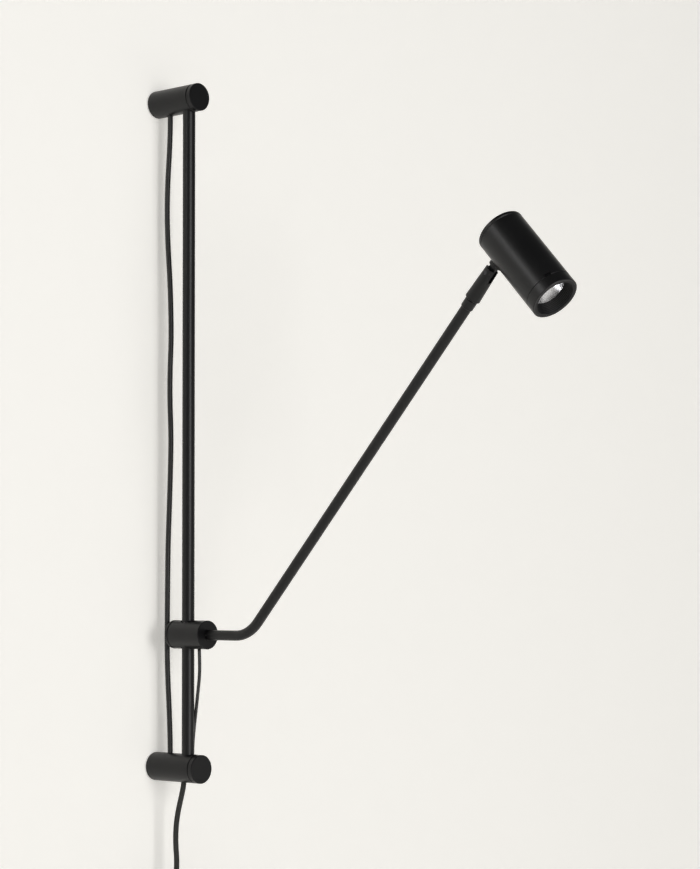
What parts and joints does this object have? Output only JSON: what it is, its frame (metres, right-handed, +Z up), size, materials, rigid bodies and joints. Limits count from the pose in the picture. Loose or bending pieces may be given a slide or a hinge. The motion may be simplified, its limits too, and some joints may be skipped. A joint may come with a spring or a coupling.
{
  "type": "pivoting spotlight wall light",
  "caption": "Black wall light: an upright pole on two brackets, a sliding, swinging clamp, a bent arm, and a small cylindrical spotlight that swivels and tilts.",
  "frame": {"origin": "on the wall, midway between the wall screws of the upper and lower brackets", "axes": "+Z up along the pole, +Y into the wall, the light reaches out along -Y, +X to the right of someone who faces the wall"},
  "size_m": [0.1007, 0.5902, 1.1155],
  "materials": {
    "black_powder_coat": "fine matt black powder coat",
    "cast_aluminium": "bare, machined",
    "screw_steel": "plain steel, machined",
    "black_rubber": "moulded, matt",
    "black_cable_sheath": "smooth, matt",
    "black_textile_braid": "tight black textile braid",
    "tie_tape": "black woven tape",
    "black_moulding": "fine matt moulding",
    "plug_brass": "nickel-plated, polished",
    "terminal_nylon": "natural, moulded",
    "bearing_acetal": "natural, machined",
    "silvered_reflector": "vacuum-metallised, faceted",
    "led_phosphor": "smooth silicone"
  },
  "bodies": {
    "root": {"upper_wall_boss": "cast_aluminium", "lower_wall_boss": "cast_aluminium", "upper_bracket_body": "black_powder_coat", "lower_bracket_body": "black_powder_coat", "upper_bracket_cap": "black_powder_coat", "lower_bracket_cap": "black_powder_coat", "boss_grub_screws": "screw_steel", "pole_grub_screws": "screw_steel", "riser_grommets": "black_rubber", "pole": "black_powder_coat", "mains_gland": "black_rubber", "lamp_lead_grommet": "black_rubber", "terminal_block": "terminal_nylon", "riser_lead": "black_cable_sheath", "lamp_lead_lower": "black_cable_sheath", "mains_cord": "black_textile_braid", "cord_hank": "black_textile_braid", "hank_tie": "tie_tape", "plug_body": "black_moulding", "plug_pins": "plug_brass"},
    "carriage": {"clamp_sleeve": "bearing_acetal", "lamp_lead_upper": "black_cable_sheath"},
    "arm": {"clamp_body": "black_powder_coat", "clamp_grommet": "black_rubber", "arm_grub_screw": "screw_steel", "friction_shoe": "bearing_acetal", "arm_tube": "black_powder_coat", "arm_collar": "black_powder_coat", "swivel_stud": "screw_steel", "arm_lead": "black_cable_sheath"},
    "clamp_knob": {"clamp_cap": "black_powder_coat"},
    "swivel": {"knuckle_barrel": "black_powder_coat", "swivel_ring": "bearing_acetal", "tilt_pin": "screw_steel", "barrel_lead": "black_cable_sheath"},
    "head": {"neck_tongue": "black_powder_coat", "neck_nut": "screw_steel", "head_housing": "black_powder_coat", "rear_cap": "black_powder_coat", "heat_sink": "cast_aluminium", "led_board": "cast_aluminium", "led_chip": "led_phosphor", "reflector": "silvered_reflector", "front_ring": "black_powder_coat", "baffle": "black_moulding", "ring_latch": "black_moulding"}
  },
  "joints": [
    {"name": "clamp_slide", "type": "slide", "parent": "root", "child": "carriage", "axis": [0, 0, 1], "range_m": [-0.045, 0.1], "deforming": ["lamp_lead_lower"]},
    {"name": "arm_swing", "type": "hinge", "parent": "carriage", "child": "arm", "pos_m": [0, -0.053, -0.226], "axis": [0, 0, 1], "range_deg": [-90, 90]},
    {"name": "clamp_cap_turn", "type": "hinge", "parent": "arm", "child": "clamp_knob", "pos_m": [0, -0.0305, -0.226], "axis": [0, 1, 0], "range_deg": [-180, 180]},
    {"name": "head_swivel", "type": "hinge", "parent": "arm", "child": "swivel", "pos_m": [0, -0.46682, 0.11581], "axis": [0, -0.6807, 0.7325], "range_deg": [-170, 170]},
    {"name": "head_tilt", "type": "hinge", "parent": "swivel", "child": "head", "pos_m": [0, -0.48922, 0.13991], "axis": [1, 0, 0], "range_deg": [-94.2, 85.8]}
  ]
}
